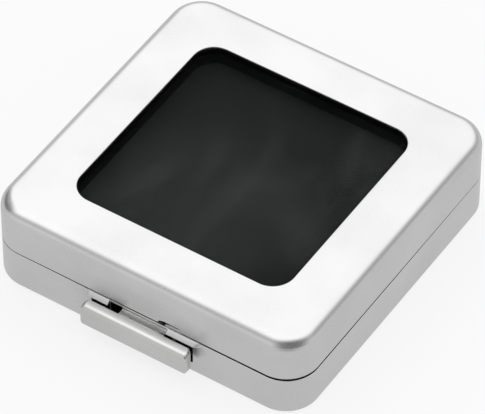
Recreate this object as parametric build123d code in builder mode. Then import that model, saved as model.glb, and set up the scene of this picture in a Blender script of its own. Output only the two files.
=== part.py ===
"""Gemstone display box: a hinged case of two pressed shells with a glass window and a press latch.

Millimetres, +Z up, the latch faces -Y. The origin is the middle of the underside.
"""

from build123d import *
import os

# Outside of the closed case
case_width = 60.0
case_depth = 60.0
case_height = 16.6
seam_height = 7.9
seam_gap = 0.2
corner_radius = 6.0
shell_sheet = 0.6
lid_edge_radius = 2.5
base_edge_radius = 0.8
rim_chamfer = 0.15

# Window in the lid
lid_border = 9.5
window_radius = 4.0
tape_thickness = 0.2
glass_thickness = 1.0
glass_margin = 3.0
glass_clearance = 0.1
frame_edge_room = 0.7
frame_ledge = 1.2
frame_chamfer = 0.4
collar_wall = 1.0
collar_depth = 2.2

# Foam pad and its moulded liner
pad_radius = 3.0
pad_clearance = 0.2
soft_gap = 0.3
liner_wall = 0.9
liner_floor = 0.8
liner_clearance = 0.15
liner_rise = 1.0
liner_chamfer = 0.25
floor_tape = 0.15
floor_tape_margin = 2.0

# Hinge at the back
leaf_sheet = 0.5
leaf_corner = 1.0
leaf_floor_room = 1.8
leaf_top_room = 0.7
hinge_length = 30.0
knuckle_count = 5
knuckle_gap = 0.15
hinge_pin_radius = 0.6
pin_running_gap = 0.05
hinge_notch_room = 0.2
hinge_pocket_room = 0.9
roll_turn = 285.0

# Press latch at the front: the bar that the thumb meets, and its tongue
latch_sheet = 0.6
latch_drop = 0.8
bar_middle = 0.2
bar_width = 20.0
bar_height = 4.05
bar_depth = 1.8
bar_gap = 0.3
bar_front_round = 0.45
bar_corner_radius = 0.7
tongue_width = 8.8
tongue_rise = 0.3
tongue_side_gap = 0.1
tongue_top_gap = 0.12
bend_radius = 0.5

# Latch slot, the ledges beside it, and the thumbnail notch in the lid
slot_left = -5.9
slot_width = 11.3
slot_corner = 0.35
bar_opening_height = 3.7
bar_opening_side = 0.25
ledge_left_length = 4.8
ledge_right_length = 6.0
ledge_reach = 0.9
ledge_top_drop = 0.28
ledge_slope = 0.1
ledge_edge = 0.35
ledge_undercut = 0.05
ledge_run_out = 1.8
ledge_fade = 0.12
thumb_notch_left = 3.3
thumb_notch_length = 4.9
thumb_notch_steep = 0.4
thumb_notch_flat = 1.2
thumb_notch_height = 0.95
thumb_notch_step = 0.5

# Hidden works of the latch
latch_pin_radius = 0.5
latch_pin_depth = 2.0
pin_seat_gap = 0.02
pin_overhang = 0.25
pin_chamfer = 0.12
knuckle_width = 1.9
hook_side_gap = 0.15
hook_swing_room = 0.9
hook_height = 2.6
hook_nose = 1.0
bracket_sheet = 0.6
bracket_foot = 0.4
bracket_slot_room = 0.1
bracket_ear_reach = 3.2
bracket_side_room = 0.3
ear_round = 0.6
spring_sheet = 0.2
spring_width = 2.6
spring_bow = 0.9
spring_tip_gap = 0.1
catch_gap = 0.1
catch_drop_gap = 0.2
catch_lip = 0.9
catch_leg_room = 1.1
catch_top_room = 0.1
catch_liner_room = 0.8
pocket_lip = 0.3
pocket_side_room = 0.5

# Heights and faces that several pieces share
base_rim = seam_height - seam_gap / 2
lid_rim = seam_height + seam_gap / 2
front_wall = -case_depth / 2
front_wall_inside = front_wall + shell_sheet
back_wall = case_depth / 2
back_wall_inside = back_wall - shell_sheet
lid_straight_top = case_height - lid_edge_radius
lid_underside = case_height - shell_sheet
glass_top = lid_underside - tape_thickness
glass_bottom = glass_top - glass_thickness
collar_bottom = glass_bottom - collar_depth
pad_top = collar_bottom - soft_gap

# The window, the pane, the rebate and the frame are one outline at growing steps
window_width = case_width - 2 * lid_border
window_depth = case_depth - 2 * lid_border
rebate_step = glass_margin + glass_clearance
frame_step = lid_border - lid_edge_radius - frame_edge_room

# Hinge axis: the roll of each leaf starts flush with the inner face of the leaf
hinge_roll_radius = hinge_pin_radius + pin_running_gap + leaf_sheet / 2
barrel_radius = hinge_roll_radius + leaf_sheet / 2
hinge_y = back_wall_inside - leaf_sheet + barrel_radius
hinge_z = seam_height
hinge_left = -hinge_length / 2
knuckle_pitch = hinge_length / knuckle_count
knuckle_length = knuckle_pitch - knuckle_gap
leaf_middle = back_wall_inside - leaf_sheet / 2
leaf_stop = barrel_radius + knuckle_gap
base_leaf_bottom = shell_sheet + leaf_floor_room
base_leaf_height = hinge_z - leaf_stop - base_leaf_bottom
lid_leaf_height = lid_straight_top - leaf_top_room - hinge_z - leaf_stop

# Latch axis: the tongue rises from the bar to the slot, and rolls round the pin from above
bar_top = base_rim - latch_drop
tongue_top = bar_top + tongue_rise
latch_roll_radius = latch_pin_radius + pin_running_gap + latch_sheet / 2
latch_barrel_radius = latch_roll_radius + latch_sheet / 2
latch_y = front_wall_inside + latch_pin_depth
latch_z = tongue_top - latch_barrel_radius
slot_right = slot_left + slot_width
slot_top = tongue_top + tongue_top_gap
bar_middle_z = bar_top - latch_sheet / 2
tongue_middle_z = tongue_top - latch_sheet / 2
tongue_right = slot_right - tongue_side_gap
tongue_left = tongue_right - tongue_width
ledge_top = base_rim - ledge_top_drop
ledge_underside = ledge_top - ledge_slope - ledge_edge
ledge_front = front_wall - ledge_reach
bar_back = ledge_front - bar_gap

# The wall is open behind the bar, from just above its lower edge to the underside of the ledges
opening_top = ledge_underside - ledge_undercut
opening_bottom = opening_top - bar_opening_height
opening_width = bar_width - 2 * bar_opening_side

# The hook is the middle of the tongue, bent up between the two knuckles
hook_left = tongue_left + knuckle_width + hook_side_gap
hook_width = tongue_width - 2 * (knuckle_width + hook_side_gap)
hook_y = front_wall_inside + hook_swing_room + latch_sheet / 2
hook_top_z = tongue_middle_z + hook_height
hook_tip = hook_y + hook_nose

# The bracket's ears stand clear of the slot on both sides
bracket_left = slot_left - bracket_side_room - bracket_sheet
bracket_right = slot_right + bracket_side_room + bracket_sheet
bracket_middle = (bracket_left + bracket_right) / 2
bracket_inside = front_wall_inside + bracket_sheet
bracket_bottom = shell_sheet + bracket_foot
bracket_plate_top = opening_bottom - bracket_slot_room
ear_top = latch_z + latch_pin_radius + bracket_sheet

# The catch hangs from the lid's front wall, and its lip starts below and just past the hook's nose
catch_lip_z = hook_top_z - latch_sheet - catch_drop_gap
catch_tip = hook_tip + catch_gap
catch_y = catch_tip + catch_lip
catch_leg_z = hook_top_z + latch_sheet + catch_leg_room
catch_wall_y = front_wall_inside + latch_sheet / 2
catch_top = lid_straight_top - catch_top_room

# Moulded liner: an outer skirt and an inner well, joined by a deck just above the seam.
# The latch works need room in front of the well, and the pad keeps that distance on all sides.
skirt_step = shell_sheet + liner_clearance
well_wall_front = catch_y + latch_sheet / 2 + catch_liner_room
pad_step = well_wall_front + liner_wall + pad_clearance - front_wall
pad_width = case_width - 2 * pad_step
pad_depth = case_depth - 2 * pad_step
liner_bottom = shell_sheet + floor_tape
liner_top = seam_height + liner_rise
liner_height = liner_top - liner_bottom
pad_bottom = liner_bottom + liner_floor
pad_layer = (pad_top - pad_bottom) / 2


def case_outline(step, mode=Mode.ADD):
    """Outline of the case, drawn in by a step on all sides."""
    RectangleRounded(
        case_width - 2 * step, case_depth - 2 * step, corner_radius - step, mode=mode
    )


def window_outline(step, mode=Mode.ADD):
    """Outline of the window, grown by a step on all sides."""
    RectangleRounded(
        window_width + 2 * step, window_depth + 2 * step, window_radius + step, mode=mode
    )


def pad_outline(step, mode=Mode.ADD):
    """Outline of the pad, grown by a step on all sides."""
    RectangleRounded(pad_width + 2 * step, pad_depth + 2 * step, pad_radius + step, mode=mode)


def write(piece, name):
    """Label a finished piece and write it under its name."""
    piece.part.label = name
    export_step(piece.part, f"parts/{name}.step")


os.makedirs("parts", exist_ok=True)

# Ledges pressed out of the base's front wall, one each side of the latch slot
ledge_spans = [
    (slot_left, slot_left - ledge_left_length, -1),
    (slot_right, slot_right + ledge_right_length, 1),
]

with BuildPart() as ledges:
    for inner_end, outer_end, side in ledge_spans:
        with BuildSketch(Plane.YZ.offset(min(inner_end, outer_end))):
            with BuildLine():
                Polyline(
                    (front_wall_inside, ledge_top),
                    (front_wall, ledge_top),
                    (ledge_front, ledge_top - ledge_slope),
                    (ledge_front, ledge_underside),
                    (front_wall, ledge_underside - ledge_undercut),
                    (front_wall_inside, ledge_underside - ledge_undercut),
                    close=True,
                )
            make_face()
        extrude(amount=abs(outer_end - inner_end))
    # In plan each ledge fades into the wall at its outer end
    with BuildSketch(Plane.XY.offset(ledge_top)):
        for inner_end, outer_end, side in ledge_spans:
            fade_start = outer_end - side * ledge_run_out
            fade_middle = outer_end - side * ledge_run_out / 2
            faded = front_wall + ledge_fade
            with BuildLine():
                Bezier(
                    (fade_start, ledge_front),
                    (fade_middle, ledge_front),
                    (fade_middle, faded),
                    (outer_end, faded),
                )
                Polyline(
                    (outer_end, faded),
                    (outer_end, front_wall_inside),
                    (inner_end, front_wall_inside),
                    (inner_end, ledge_front),
                    (fade_start, ledge_front),
                )
            make_face()
    extrude(amount=opening_top - ledge_top, mode=Mode.INTERSECT)

# Base shell
with BuildPart() as base_shell:
    with BuildSketch():
        case_outline(0)
    extrude(amount=base_rim)
    offset(amount=-shell_sheet, openings=base_shell.faces().sort_by(Axis.Z)[-1])
    fillet(base_shell.faces().sort_by(Axis.Z)[0].edges(), base_edge_radius)
    chamfer(base_shell.faces().sort_by(Axis.Z)[-1].outer_wire().edges(), rim_chamfer)
    add(ledges.part)
    # Slot for the latch tongue between the ledges, and the wider opening behind the bar
    with BuildSketch(Plane.XZ.offset(-ledge_front)):
        with Locations(((slot_left + slot_right) / 2, (slot_top + opening_bottom) / 2)):
            RectangleRounded(slot_width, slot_top - opening_bottom, slot_corner)
        with Locations((bar_middle, (opening_top + opening_bottom) / 2)):
            RectangleRounded(opening_width, bar_opening_height, slot_corner)
    extrude(amount=-(ledge_reach + 2 * shell_sheet), mode=Mode.SUBTRACT)
    # Notch in the back rim for the hinge barrel
    with BuildSketch(Plane.XZ.offset(-back_wall)):
        with Locations((0, base_rim)):
            Rectangle(
                hinge_length + 2 * hinge_notch_room,
                2 * (base_rim - hinge_z + barrel_radius + hinge_notch_room),
            )
    extrude(amount=2 * shell_sheet, mode=Mode.SUBTRACT)
write(base_shell, "base_shell")

# Double-sided tape that holds the liner on the base's floor
with BuildPart() as tray_tape:
    with BuildSketch(Plane.XY.offset(shell_sheet)):
        pad_outline(-floor_tape_margin)
    extrude(amount=floor_tape)
write(tray_tape, "tray_tape")

# Moulded liner
with BuildPart() as pad_tray:
    with BuildSketch(Plane.XY.offset(liner_bottom)):
        case_outline(skirt_step)
    extrude(amount=liner_height)
    chamfer(pad_tray.faces().sort_by(Axis.Z)[-1].edges(), liner_chamfer)
    # Channel under the deck, between the skirt and the well
    with BuildSketch(Plane.XY.offset(liner_bottom)):
        case_outline(skirt_step + liner_wall)
        pad_outline(pad_clearance + liner_wall, mode=Mode.SUBTRACT)
    extrude(amount=liner_height - liner_wall, mode=Mode.SUBTRACT)
    # Well that holds the pad
    with BuildSketch(Plane.XY.offset(pad_bottom)):
        pad_outline(pad_clearance)
    extrude(amount=liner_height, mode=Mode.SUBTRACT)
    # Room for the latch works in the front side, and for the hinge leaf in the back side
    with BuildSketch(Plane.XY.offset(liner_bottom)):
        with Locations((bracket_middle, front_wall)):
            Rectangle(
                bracket_right - bracket_left + 2 * pocket_side_room,
                2 * (well_wall_front - pocket_lip - front_wall),
            )
        with Locations((0, back_wall_inside)):
            Rectangle(
                hinge_length + 2 * hinge_pocket_room, 2 * (leaf_sheet + hinge_pocket_room)
            )
    extrude(amount=liner_height, mode=Mode.SUBTRACT)
write(pad_tray, "pad_tray")

# Foam pad in two bonded layers, so that either colour can face the glass
with BuildPart() as pad_white_layer:
    with BuildSketch(Plane.XY.offset(pad_bottom)):
        pad_outline(0)
    extrude(amount=pad_layer)
write(pad_white_layer, "pad_white_layer")

with BuildPart() as pad_black_layer:
    with BuildSketch(Plane.XY.offset(pad_bottom + pad_layer)):
        pad_outline(0)
    extrude(amount=pad_layer)
write(pad_black_layer, "pad_black_layer")

# Hinge leaf on the base: its end and middle knuckles roll over the pin and down behind it
with BuildPart() as hinge_leaf_base:
    for index in range(0, knuckle_count, 2):
        knuckle_left = hinge_left + index * knuckle_pitch + knuckle_gap / 2
        with BuildSketch(Plane.YZ.offset(knuckle_left)):
            with BuildLine():
                Line((leaf_middle, hinge_z - leaf_stop - leaf_sheet), (leaf_middle, hinge_z))
                CenterArc((hinge_y, hinge_z), hinge_roll_radius, 180, -roll_turn)
            trace(line_width=leaf_sheet)
        extrude(amount=knuckle_length)
    with BuildSketch(Plane.XZ.offset(-back_wall_inside)):
        with Locations((0, hinge_z - leaf_stop)):
            RectangleRounded(hinge_length, 2 * base_leaf_height, leaf_corner)
        with Locations((0, hinge_z - leaf_stop + base_leaf_height)):
            Rectangle(hinge_length, 2 * base_leaf_height, mode=Mode.SUBTRACT)
    extrude(amount=leaf_sheet)
write(hinge_leaf_base, "hinge_leaf_base")

# Hinge leaf on the lid: its two knuckles roll under the pin and up behind it
with BuildPart() as hinge_leaf_lid:
    for index in range(1, knuckle_count, 2):
        knuckle_left = hinge_left + index * knuckle_pitch + knuckle_gap / 2
        with BuildSketch(Plane.YZ.offset(knuckle_left)):
            with BuildLine():
                Line((leaf_middle, hinge_z + leaf_stop + leaf_sheet), (leaf_middle, hinge_z))
                CenterArc((hinge_y, hinge_z), hinge_roll_radius, 180, roll_turn)
            trace(line_width=leaf_sheet)
        extrude(amount=knuckle_length)
    with BuildSketch(Plane.XZ.offset(-back_wall_inside)):
        with Locations((0, hinge_z + leaf_stop)):
            RectangleRounded(hinge_length, 2 * lid_leaf_height, leaf_corner)
        with Locations((0, hinge_z + leaf_stop - lid_leaf_height)):
            Rectangle(hinge_length, 2 * lid_leaf_height, mode=Mode.SUBTRACT)
    extrude(amount=leaf_sheet)
write(hinge_leaf_lid, "hinge_leaf_lid")

# Hinge pin, as long as the barrel
with BuildPart() as hinge_pin:
    with BuildSketch(Plane.YZ.offset(hinge_left)):
        with Locations((hinge_y, hinge_z)):
            Circle(hinge_pin_radius)
    extrude(amount=hinge_length)
    chamfer(hinge_pin.edges().filter_by(GeomType.CIRCLE), pin_chamfer)
write(hinge_pin, "hinge_pin")

# Latch bracket: a U of sheet on the inside of the front wall, whose ears carry the pin
with BuildPart() as latch_bracket:
    with BuildSketch(Plane.XY.offset(bracket_bottom)):
        with BuildLine():
            FilletPolyline(
                (bracket_left + bracket_sheet / 2, front_wall_inside + bracket_ear_reach),
                (bracket_left + bracket_sheet / 2, front_wall_inside + bracket_sheet / 2),
                (bracket_right - bracket_sheet / 2, front_wall_inside + bracket_sheet / 2),
                (bracket_right - bracket_sheet / 2, front_wall_inside + bracket_ear_reach),
                radius=bracket_sheet,
            )
        trace(line_width=bracket_sheet)
    extrude(amount=ear_top - bracket_bottom)
    # The plate between the ears ends below the opening
    with BuildSketch(Plane.XZ.offset(-front_wall_inside)):
        with Locations((bracket_middle, ear_top)):
            Rectangle(
                bracket_right - bracket_left - 2 * bracket_sheet, 2 * (ear_top - bracket_plate_top)
            )
    extrude(amount=-bracket_sheet * 2, mode=Mode.SUBTRACT)
    with BuildSketch(Plane.YZ.offset(bracket_left)):
        with Locations((latch_y, latch_z)):
            Circle(latch_pin_radius + pin_seat_gap)
    extrude(amount=bracket_right - bracket_left, mode=Mode.SUBTRACT)
    ear_corners = latch_bracket.edges().filter_by(Axis.X).group_by(Axis.Y)[-1]
    fillet(ear_corners, ear_round)
write(latch_bracket, "latch_bracket")

# Latch pin, fixed in the ears
with BuildPart() as latch_pin:
    with BuildSketch(Plane.YZ.offset(bracket_left - pin_overhang)):
        with Locations((latch_y, latch_z)):
            Circle(latch_pin_radius)
    extrude(amount=bracket_right - bracket_left + 2 * pin_overhang)
    chamfer(latch_pin.edges().filter_by(GeomType.CIRCLE), pin_chamfer)
write(latch_pin, "latch_pin")

# Flat spring: its foot lies on the bracket, and the end of its bow stands just under the tongue
spring_foot_y = bracket_inside + spring_sheet / 2
spring_tip_z = tongue_top - latch_sheet - spring_tip_gap
with BuildPart() as latch_spring:
    with BuildSketch(Plane.YZ.offset(hook_left + (hook_width - spring_width) / 2)):
        with BuildLine():
            FilletPolyline(
                (spring_foot_y, bracket_bottom + bracket_foot),
                (spring_foot_y, bracket_plate_top - bracket_foot),
                (spring_foot_y + spring_bow, bracket_plate_top + spring_bow / 2),
                (spring_foot_y, spring_tip_z),
                radius=spring_bow / 3,
            )
        trace(line_width=spring_sheet)
    extrude(amount=spring_width)
write(latch_spring, "latch_spring")

# Latch lever: a pressed bar, and a tongue whose sides roll round the pin
tongue_start = (bar_back - latch_sheet, bar_middle_z)
tongue_foot = (bar_back, bar_middle_z)
tongue_head = (front_wall, tongue_middle_z)
with BuildPart() as latch_lever:
    with BuildSketch(Plane.XZ.offset(-bar_back)):
        with Locations((bar_middle, bar_top - bar_height / 2)):
            RectangleRounded(bar_width, bar_height, bar_corner_radius)
    extrude(amount=bar_depth)
    fillet(latch_lever.faces().sort_by(Axis.Y)[0].edges(), bar_front_round)
    offset(amount=-latch_sheet, openings=latch_lever.faces().sort_by(Axis.Y)[-1])
    for knuckle_left in (tongue_left, tongue_right - knuckle_width):
        with BuildSketch(Plane.YZ.offset(knuckle_left)):
            with BuildLine():
                Polyline(tongue_start, tongue_foot, tongue_head, (latch_y, tongue_middle_z))
                CenterArc((latch_y, latch_z), latch_roll_radius, 90, -roll_turn)
            trace(line_width=latch_sheet)
        extrude(amount=knuckle_width)
    with BuildSketch(Plane.YZ.offset(hook_left)):
        with BuildLine():
            FilletPolyline(
                tongue_start,
                tongue_foot,
                tongue_head,
                (hook_y, tongue_middle_z),
                (hook_y, hook_top_z),
                (hook_tip, hook_top_z),
                radius=bend_radius,
            )
        trace(line_width=latch_sheet)
    extrude(amount=hook_width)
    # The tongue is one width from the bar to just inside the wall
    with BuildSketch(Plane.YZ.offset(tongue_left)):
        with BuildLine():
            Polyline(tongue_start, tongue_foot, tongue_head, (front_wall_inside, tongue_middle_z))
        trace(line_width=latch_sheet)
    extrude(amount=tongue_width)
write(latch_lever, "latch_lever")

# Hollow of the lid: its bevel touches the round that is one sheet inside the outer round
hollow_bevel = (2 - 2**0.5) * (lid_edge_radius - shell_sheet)
with BuildPart() as lid_hollow:
    with BuildSketch(Plane.XY.offset(lid_rim)):
        case_outline(shell_sheet)
    extrude(amount=lid_underside - lid_rim)
    chamfer(lid_hollow.faces().sort_by(Axis.Z)[-1].edges(), hollow_bevel)

# Lid shell
with BuildPart() as lid_shell:
    with BuildSketch(Plane.XY.offset(lid_rim)):
        case_outline(0)
    extrude(amount=case_height - lid_rim)
    fillet(lid_shell.faces().sort_by(Axis.Z)[-1].edges(), lid_edge_radius)
    add(lid_hollow.part, mode=Mode.SUBTRACT)
    with BuildSketch(Plane.XY.offset(case_height)):
        window_outline(0)
    extrude(amount=-2 * shell_sheet, mode=Mode.SUBTRACT)
    # Thumbnail notch in the front rim
    with BuildSketch(Plane.XZ.offset(-front_wall)):
        with BuildLine():
            Polyline(
                (thumb_notch_left, lid_rim),
                (thumb_notch_left + thumb_notch_steep, lid_rim + thumb_notch_height),
                (thumb_notch_left + thumb_notch_flat, lid_rim + thumb_notch_height),
                (thumb_notch_left + thumb_notch_length / 2, lid_rim + thumb_notch_step),
                (thumb_notch_left + thumb_notch_length, lid_rim),
                close=True,
            )
        make_face()
    extrude(amount=-2 * shell_sheet, mode=Mode.SUBTRACT)
    # Notch in the back rim for the hinge barrel
    with BuildSketch(Plane.XZ.offset(-back_wall)):
        with Locations((0, lid_rim)):
            Rectangle(
                hinge_length + 2 * hinge_notch_room,
                2 * (hinge_z + barrel_radius + hinge_notch_room - lid_rim),
            )
    extrude(amount=2 * shell_sheet, mode=Mode.SUBTRACT)
write(lid_shell, "lid_shell")

# Black adhesive ring between the lid and the pane and frame
with BuildPart() as window_tape:
    with BuildSketch(Plane.XY.offset(glass_top)):
        window_outline(frame_step)
        window_outline(0, mode=Mode.SUBTRACT)
    extrude(amount=tape_thickness)
write(window_tape, "window_tape")

# Glass pane
with BuildPart() as window_glass:
    with BuildSketch(Plane.XY.offset(glass_bottom)):
        window_outline(glass_margin)
    extrude(amount=glass_thickness)
write(window_glass, "window_glass")

# Moulded frame: a rim round the pane, a ledge under it, and a collar that hides the pad's edge
with BuildPart() as window_frame:
    with BuildSketch(Plane.XY.offset(glass_bottom - frame_ledge)):
        window_outline(frame_step)
    extrude(amount=frame_ledge + glass_thickness)
    chamfer(window_frame.faces().sort_by(Axis.Z)[0].edges(), frame_chamfer)
    with BuildSketch(Plane.XY.offset(collar_bottom)):
        window_outline(collar_wall)
    extrude(amount=collar_depth)
    with BuildSketch(Plane.XY.offset(glass_bottom)):
        window_outline(rebate_step)
    extrude(amount=glass_thickness, mode=Mode.SUBTRACT)
    with BuildSketch(Plane.XY.offset(collar_bottom)):
        window_outline(0)
    extrude(amount=collar_depth + glass_thickness, mode=Mode.SUBTRACT)
write(window_frame, "window_frame")

# Lid catch: a Z of sheet on the lid's front wall, with its lip turned towards the hook
with BuildPart() as lid_catch:
    with BuildSketch(Plane.YZ.offset(hook_left)):
        with BuildLine():
            FilletPolyline(
                (catch_wall_y, catch_top),
                (catch_wall_y, catch_leg_z),
                (catch_y, catch_leg_z),
                (catch_y, catch_lip_z),
                (catch_tip, catch_lip_z),
                radius=bend_radius,
            )
        trace(line_width=latch_sheet)
    extrude(amount=hook_width)
write(lid_catch, "lid_catch")
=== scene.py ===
import bmesh
import bpy
import math
from mathutils import Matrix, Vector, noise


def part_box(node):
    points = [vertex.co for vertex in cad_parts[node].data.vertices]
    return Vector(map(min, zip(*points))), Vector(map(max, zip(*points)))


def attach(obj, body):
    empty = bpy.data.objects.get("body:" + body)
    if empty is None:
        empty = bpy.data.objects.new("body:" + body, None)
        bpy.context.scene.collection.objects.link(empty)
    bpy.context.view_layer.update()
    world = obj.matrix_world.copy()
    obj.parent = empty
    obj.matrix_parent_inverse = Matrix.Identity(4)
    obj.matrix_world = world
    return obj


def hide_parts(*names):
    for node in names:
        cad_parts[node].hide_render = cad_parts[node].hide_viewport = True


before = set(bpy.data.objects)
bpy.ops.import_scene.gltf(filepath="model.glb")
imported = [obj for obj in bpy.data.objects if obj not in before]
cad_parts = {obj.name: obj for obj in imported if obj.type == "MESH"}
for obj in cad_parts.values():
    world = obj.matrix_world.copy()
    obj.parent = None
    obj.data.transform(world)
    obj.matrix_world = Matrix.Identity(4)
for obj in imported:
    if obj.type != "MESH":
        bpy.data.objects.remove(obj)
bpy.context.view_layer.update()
mm = 0.001  # every size below is in millimetres, and meshes are made in metres
weld = 2e-6  # points nearer to each other than this, in metres, become one


def nodeBox(node):
    # lowest and highest corner of a node of the frame, in millimetres
    low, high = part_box(node)
    return low / mm, high / mm


# camera, at the photograph's angle: degrees and millimetres, with the clipping in metres

camera = {
    "azimuth": 33.25, "elevation": 46.78, "aim": (0.843, -1.392, 8.0),
    "distance": 775.7, "lens": 352.0, "sensor": 36.0, "clip": (0.05, 20),
}


def makeCamera():
    turn, rise = math.radians(camera["azimuth"]), math.radians(camera["elevation"])
    back = Vector((math.sin(turn) * math.cos(rise), -math.cos(turn) * math.cos(rise), math.sin(rise)))
    data = bpy.data.cameras.new("photoCamera")
    data.lens, data.sensor_width = camera["lens"], camera["sensor"]
    data.clip_start, data.clip_end = camera["clip"]
    eye = bpy.data.objects.new("photoCamera", data)
    eye.location = (Vector(camera["aim"]) + back * camera["distance"]) * mm
    eye.rotation_mode = "QUATERNION"
    eye.rotation_quaternion = (-back).to_track_quat("-Z", "Y")
    bpy.context.collection.objects.link(eye)
    bpy.context.scene.camera = eye


makeCamera()
print("camera placed")


# nodes in code

def addNode(tree, kind, inputs=None, **settings):
    # inputs maps a socket's name or number to a value or to another node's output
    made = tree.nodes.new(kind)
    for name, value in settings.items():
        setattr(made, name, value)
    for key, value in (inputs or {}).items():
        socket = made.inputs[key]
        if isinstance(value, bpy.types.NodeSocket):
            tree.links.new(value, socket)
        else:
            socket.default_value = value
    return made


def mathNode(tree, operation, first, second=0.0, third=0.0, **settings):
    made = addNode(tree, "ShaderNodeMath", {0: first, 1: second, 2: third}, operation=operation, **settings)
    return made.outputs[0]


def vectorNode(tree, operation, *values):
    made = addNode(tree, "ShaderNodeVectorMath", dict(enumerate(values)), operation=operation)
    return made.outputs["Value" if operation in ("LENGTH", "DISTANCE", "DOT_PRODUCT") else "Vector"]


def spread(tree, value, low, high, toLow=0.0, toHigh=1.0, kind="LINEAR"):
    # maps low to toLow and high to toHigh, and holds both ends
    made = addNode(tree, "ShaderNodeMapRange",
                   {"Value": value, "From Min": low, "From Max": high, "To Min": toLow, "To Max": toHigh},
                   interpolation_type=kind)
    return made.outputs[0]


# materials: noise scales are in waves per metre, and patterns stand on object coordinates

def newMaterial(name, color, metallic, roughness, **sockets):
    made = bpy.data.materials.new(name)
    made.use_nodes = True
    made.diffuse_color = (*color, 1)
    shader = made.node_tree.nodes["Principled BSDF"]
    shader.inputs["Base Color"].default_value = (*color, 1)
    shader.inputs["Metallic"].default_value = metallic
    shader.inputs["Roughness"].default_value = roughness
    for socket, value in sockets.items():
        shader.inputs[socket.replace("_", " ")].default_value = value
    return made, made.node_tree, shader


def objectPlace(tree):
    return addNode(tree, "ShaderNodeTexCoord").outputs["Object"]


def grainNoise(tree, scale, detail=2.0, stretch=(1, 1, 1)):
    place = objectPlace(tree)
    if stretch != (1, 1, 1):
        place = addNode(tree, "ShaderNodeMapping", {"Vector": place, "Scale": stretch}).outputs[0]
    made = addNode(tree, "ShaderNodeTexNoise",
                   {"Vector": place, "Scale": scale, "Detail": detail, "Roughness": 0.5})
    return made.outputs[0]


def foamCells(tree, scale):
    made = addNode(tree, "ShaderNodeTexVoronoi", {"Vector": objectPlace(tree), "Scale": scale}, feature="F1")
    return made.outputs["Distance"]


def mixColors(tree, share, first, second):
    made = addNode(tree, "ShaderNodeMix", data_type="RGBA")
    for key, value in ((0, share), (6, first), (7, second)):
        if isinstance(value, bpy.types.NodeSocket):
            tree.links.new(value, made.inputs[key])
        else:
            made.inputs[key].default_value = value if key == 0 else (*value, 1)
    return made.outputs[2]


def twoTone(tree, shader, value, edge, first, second):
    # the colour turns from the first to the second as a value passes from one edge to the other
    mixed = mixColors(tree, spread(tree, value, *edge), first, second)
    tree.links.new(mixed, shader.inputs["Base Color"])


def addBump(tree, shader, height, strength, distance):
    bump = addNode(tree, "ShaderNodeBump",
                   {"Height": height, "Strength": strength, "Distance": distance * mm})
    tree.links.new(bump.outputs[0], shader.inputs["Normal"])


metalLook = {"patches": 70, "patchEdge": (0.35, 0.65), "darkening": 2.2, "grainEdge": (0.3, 0.7),
             "grainRough": 0.05, "bump": 0.35}
# the shells are blasted more round the latch: place and reach are in metres, and the reach is
# measured in a space that is scaled about the place
latchBlast = {"place": (0.0, -0.03, 0.0082), "scale": (0.6, 1.0, 2.0), "reach": (0.007, 0.011),
              "more": 0.24}


def blastedSpot(tree, blast):
    # the roughness that a spot adds
    away = vectorNode(tree, "SUBTRACT", objectPlace(tree), blast["place"])
    away = vectorNode(tree, "LENGTH", vectorNode(tree, "MULTIPLY", away, blast["scale"]))
    return spread(tree, away, *blast["reach"], blast["more"], 0.0, kind="SMOOTHSTEP")


def satinMetal(name, color, roughness, grain, grainHeight, stretch=(1, 1, 1), cloud=0.03, blast=None):
    # metal with a blasted or drawn grain, whose crests are slightly duller, and faint cloudy patches
    s = metalLook
    made, tree, shader = newMaterial(name, color, 1.0, roughness)
    fine = grainNoise(tree, grain, 3.0, stretch)
    patches = grainNoise(tree, s["patches"], 3.0)
    darker = tuple(channel * (1 - s["darkening"] * cloud) for channel in color)
    twoTone(tree, shader, patches, s["patchEdge"], darker, color)
    rough = mathNode(tree, "ADD", spread(tree, fine, *s["grainEdge"], -s["grainRough"], s["grainRough"]),
                     spread(tree, patches, *s["grainEdge"], roughness + cloud, roughness - cloud))
    if blast:
        rough = mathNode(tree, "ADD", rough, blastedSpot(tree, blast))
    tree.links.new(rough, shader.inputs["Roughness"])
    addBump(tree, shader, fine, s["bump"], grainHeight)
    return made


mouldingLook = {"specular": 0.04, "patches": 160, "patchEdge": (0.4, 0.75), "paler": (2, 0.0005),
                "grainEdge": (0.3, 0.7), "grainRough": 0.08, "bump": (0.5, 0.02)}


def mouldedBlack(name, color, roughness, grain):
    # black moulding with a fine spark texture, and slightly paler patches
    s = mouldingLook
    made, tree, shader = newMaterial(name, color, 0.0, roughness, Specular_IOR_Level=s["specular"])
    fine = grainNoise(tree, grain)
    times, more = s["paler"]
    twoTone(tree, shader, grainNoise(tree, s["patches"]), s["patchEdge"],
            color, tuple(channel * times + more for channel in color))
    rough = spread(tree, fine, *s["grainEdge"], roughness - s["grainRough"], roughness + s["grainRough"])
    tree.links.new(rough, shader.inputs["Roughness"])
    addBump(tree, shader, fine, *s["bump"])
    return made


foamLook = {"base": (0.0125, 0.0135, 0.0133), "bloom": (0.047, 0.0495, 0.0495),
            "cell": 5200, "cellEdge": (0.0, 0.7), "cellShare": (0.06, -0.06), "bump": (0.35, 0.05),
            # the place, reach and share on the next line paint light and shade: the pad is paler near the
            # place and darker far from it
            "paintedLightPlace": (-0.004, -0.009, 0.0123), "paintedLightReach": (0.008, 0.031), "paintedLightShare": (0.5, -0.1),
            "wisp": 62, "wispTurn": 0.75, "wispStretch": (1.0, 0.5, 1.0), "wispEdge": (0.42, 0.7),
            "wispShare": (-0.16, 0.6)}


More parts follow.
